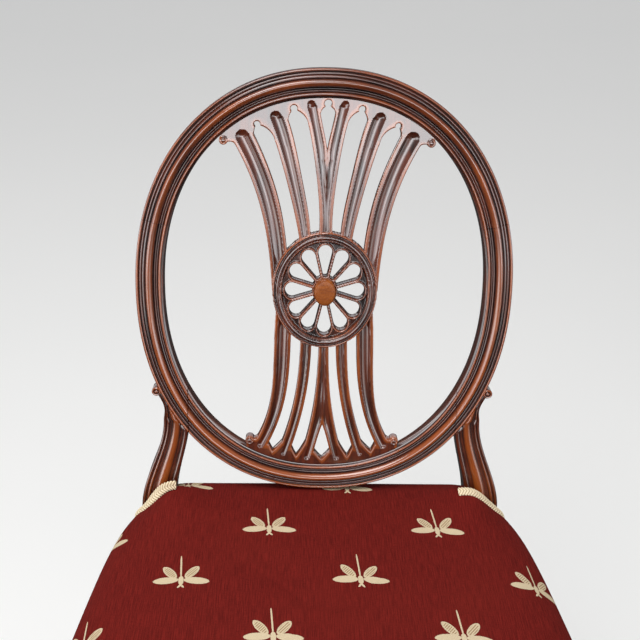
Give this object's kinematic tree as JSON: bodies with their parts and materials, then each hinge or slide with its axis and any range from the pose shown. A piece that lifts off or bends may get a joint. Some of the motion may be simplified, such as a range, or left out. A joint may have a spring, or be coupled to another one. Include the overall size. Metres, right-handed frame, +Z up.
{
  "type": "dining chair",
  "caption": "Oval wheel back side chair in dark moulded mahogany, with a pierced fan splat, a crowned stuffed-over cloth seat, tapered front legs and raked rear legs.",
  "frame": {"origin": "on the floor, at the middle of the chair's box", "axes": "+Z up, -Y the way the sitter faces, +X to the right of someone looking at the chair's front"},
  "size_m": [0.5658, 0.591, 0.957],
  "materials": {
    "mahogany": "polished dark red-brown",
    "boss_mahogany": "polished orange-brown",
    "beech": "plain",
    "steel": "plain",
    "cover_cloth": "burgundy weave with cream insect figures",
    "gimp_braid": "cream braid",
    "jute": "woven strap",
    "hessian": "open weave",
    "stuffing": "felted hair",
    "cambric": "thin black sheet"
  },
  "bodies": {
    "root": {"crest_rail": "mahogany", "lower_back_rail": "mahogany", "rear_leg_left": "mahogany", "rear_leg_right": "mahogany", "back_splat": "mahogany", "front_leg_left": "mahogany", "front_leg_right": "mahogany", "wheel_boss": "boss_mahogany", "front_seat_rail": "beech", "rear_seat_rail": "beech", "side_seat_rail_left": "beech", "side_seat_rail_right": "beech", "corner_block_front_left": "beech", "corner_block_front_right": "beech", "corner_block_rear_left": "beech", "corner_block_rear_right": "beech", "block_screw_front_left_1": "steel", "block_screw_front_left_2": "steel", "block_screw_front_right_1": "steel", "block_screw_front_right_2": "steel", "block_screw_rear_left_1": "steel", "block_screw_rear_left_2": "steel", "block_screw_rear_right_1": "steel", "block_screw_rear_right_2": "steel", "crest_dowel_left_1": "beech", "crest_dowel_left_2": "beech", "crest_dowel_right_1": "beech", "crest_dowel_right_2": "beech", "lower_dowel_left_1": "beech", "lower_dowel_left_2": "beech", "lower_dowel_right_1": "beech", "lower_dowel_right_2": "beech", "webbing_long_1": "jute", "webbing_long_2": "jute", "webbing_long_3": "jute", "webbing_long_4": "jute", "webbing_cross_1": "jute", "webbing_cross_2": "jute", "webbing_cross_3": "jute", "webbing_cross_4": "jute", "hessian_sheet": "hessian", "seat_stuffing": "stuffing", "seat_cover": "cover_cloth", "gimp_rear_leg_left": "gimp_braid", "gimp_rear_leg_right": "gimp_braid", "gimp_border": "gimp_braid", "gimp_rear": "gimp_braid", "dust_cover": "cambric", "dust_cover_tack_1": "steel", "dust_cover_tack_2": "steel", "dust_cover_tack_3": "steel", "dust_cover_tack_4": "steel", "dust_cover_tack_5": "steel", "dust_cover_tack_6": "steel", "dust_cover_tack_7": "steel", "dust_cover_tack_8": "steel"}
  },
  "joints": []
}
